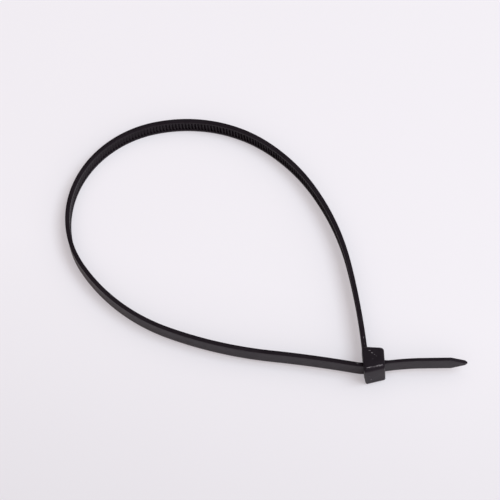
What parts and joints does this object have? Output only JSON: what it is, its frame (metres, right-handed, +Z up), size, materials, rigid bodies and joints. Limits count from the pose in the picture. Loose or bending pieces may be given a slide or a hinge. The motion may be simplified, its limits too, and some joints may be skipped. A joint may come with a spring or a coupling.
{
  "type": "cable tie",
  "caption": "Black nylon cable tie closed into a teardrop loop, its toothed strap locked through a small head with a short pointed tail.",
  "frame": {"origin": "middle of the length and width of the closed tie, on the surface it lies on", "axes": "+X across the head, the way the tail leaves it; +Y the way the root of the strap leaves the head; +Z up, along the width of the strap"},
  "size_m": [0.1062, 0.0858, 0.0081],
  "materials": {
    "nylon": "black moulded nylon, satin, with a fine grain"
  },
  "bodies": {
    "root": {"cable_tie": "nylon"}
  },
  "joints": []
}
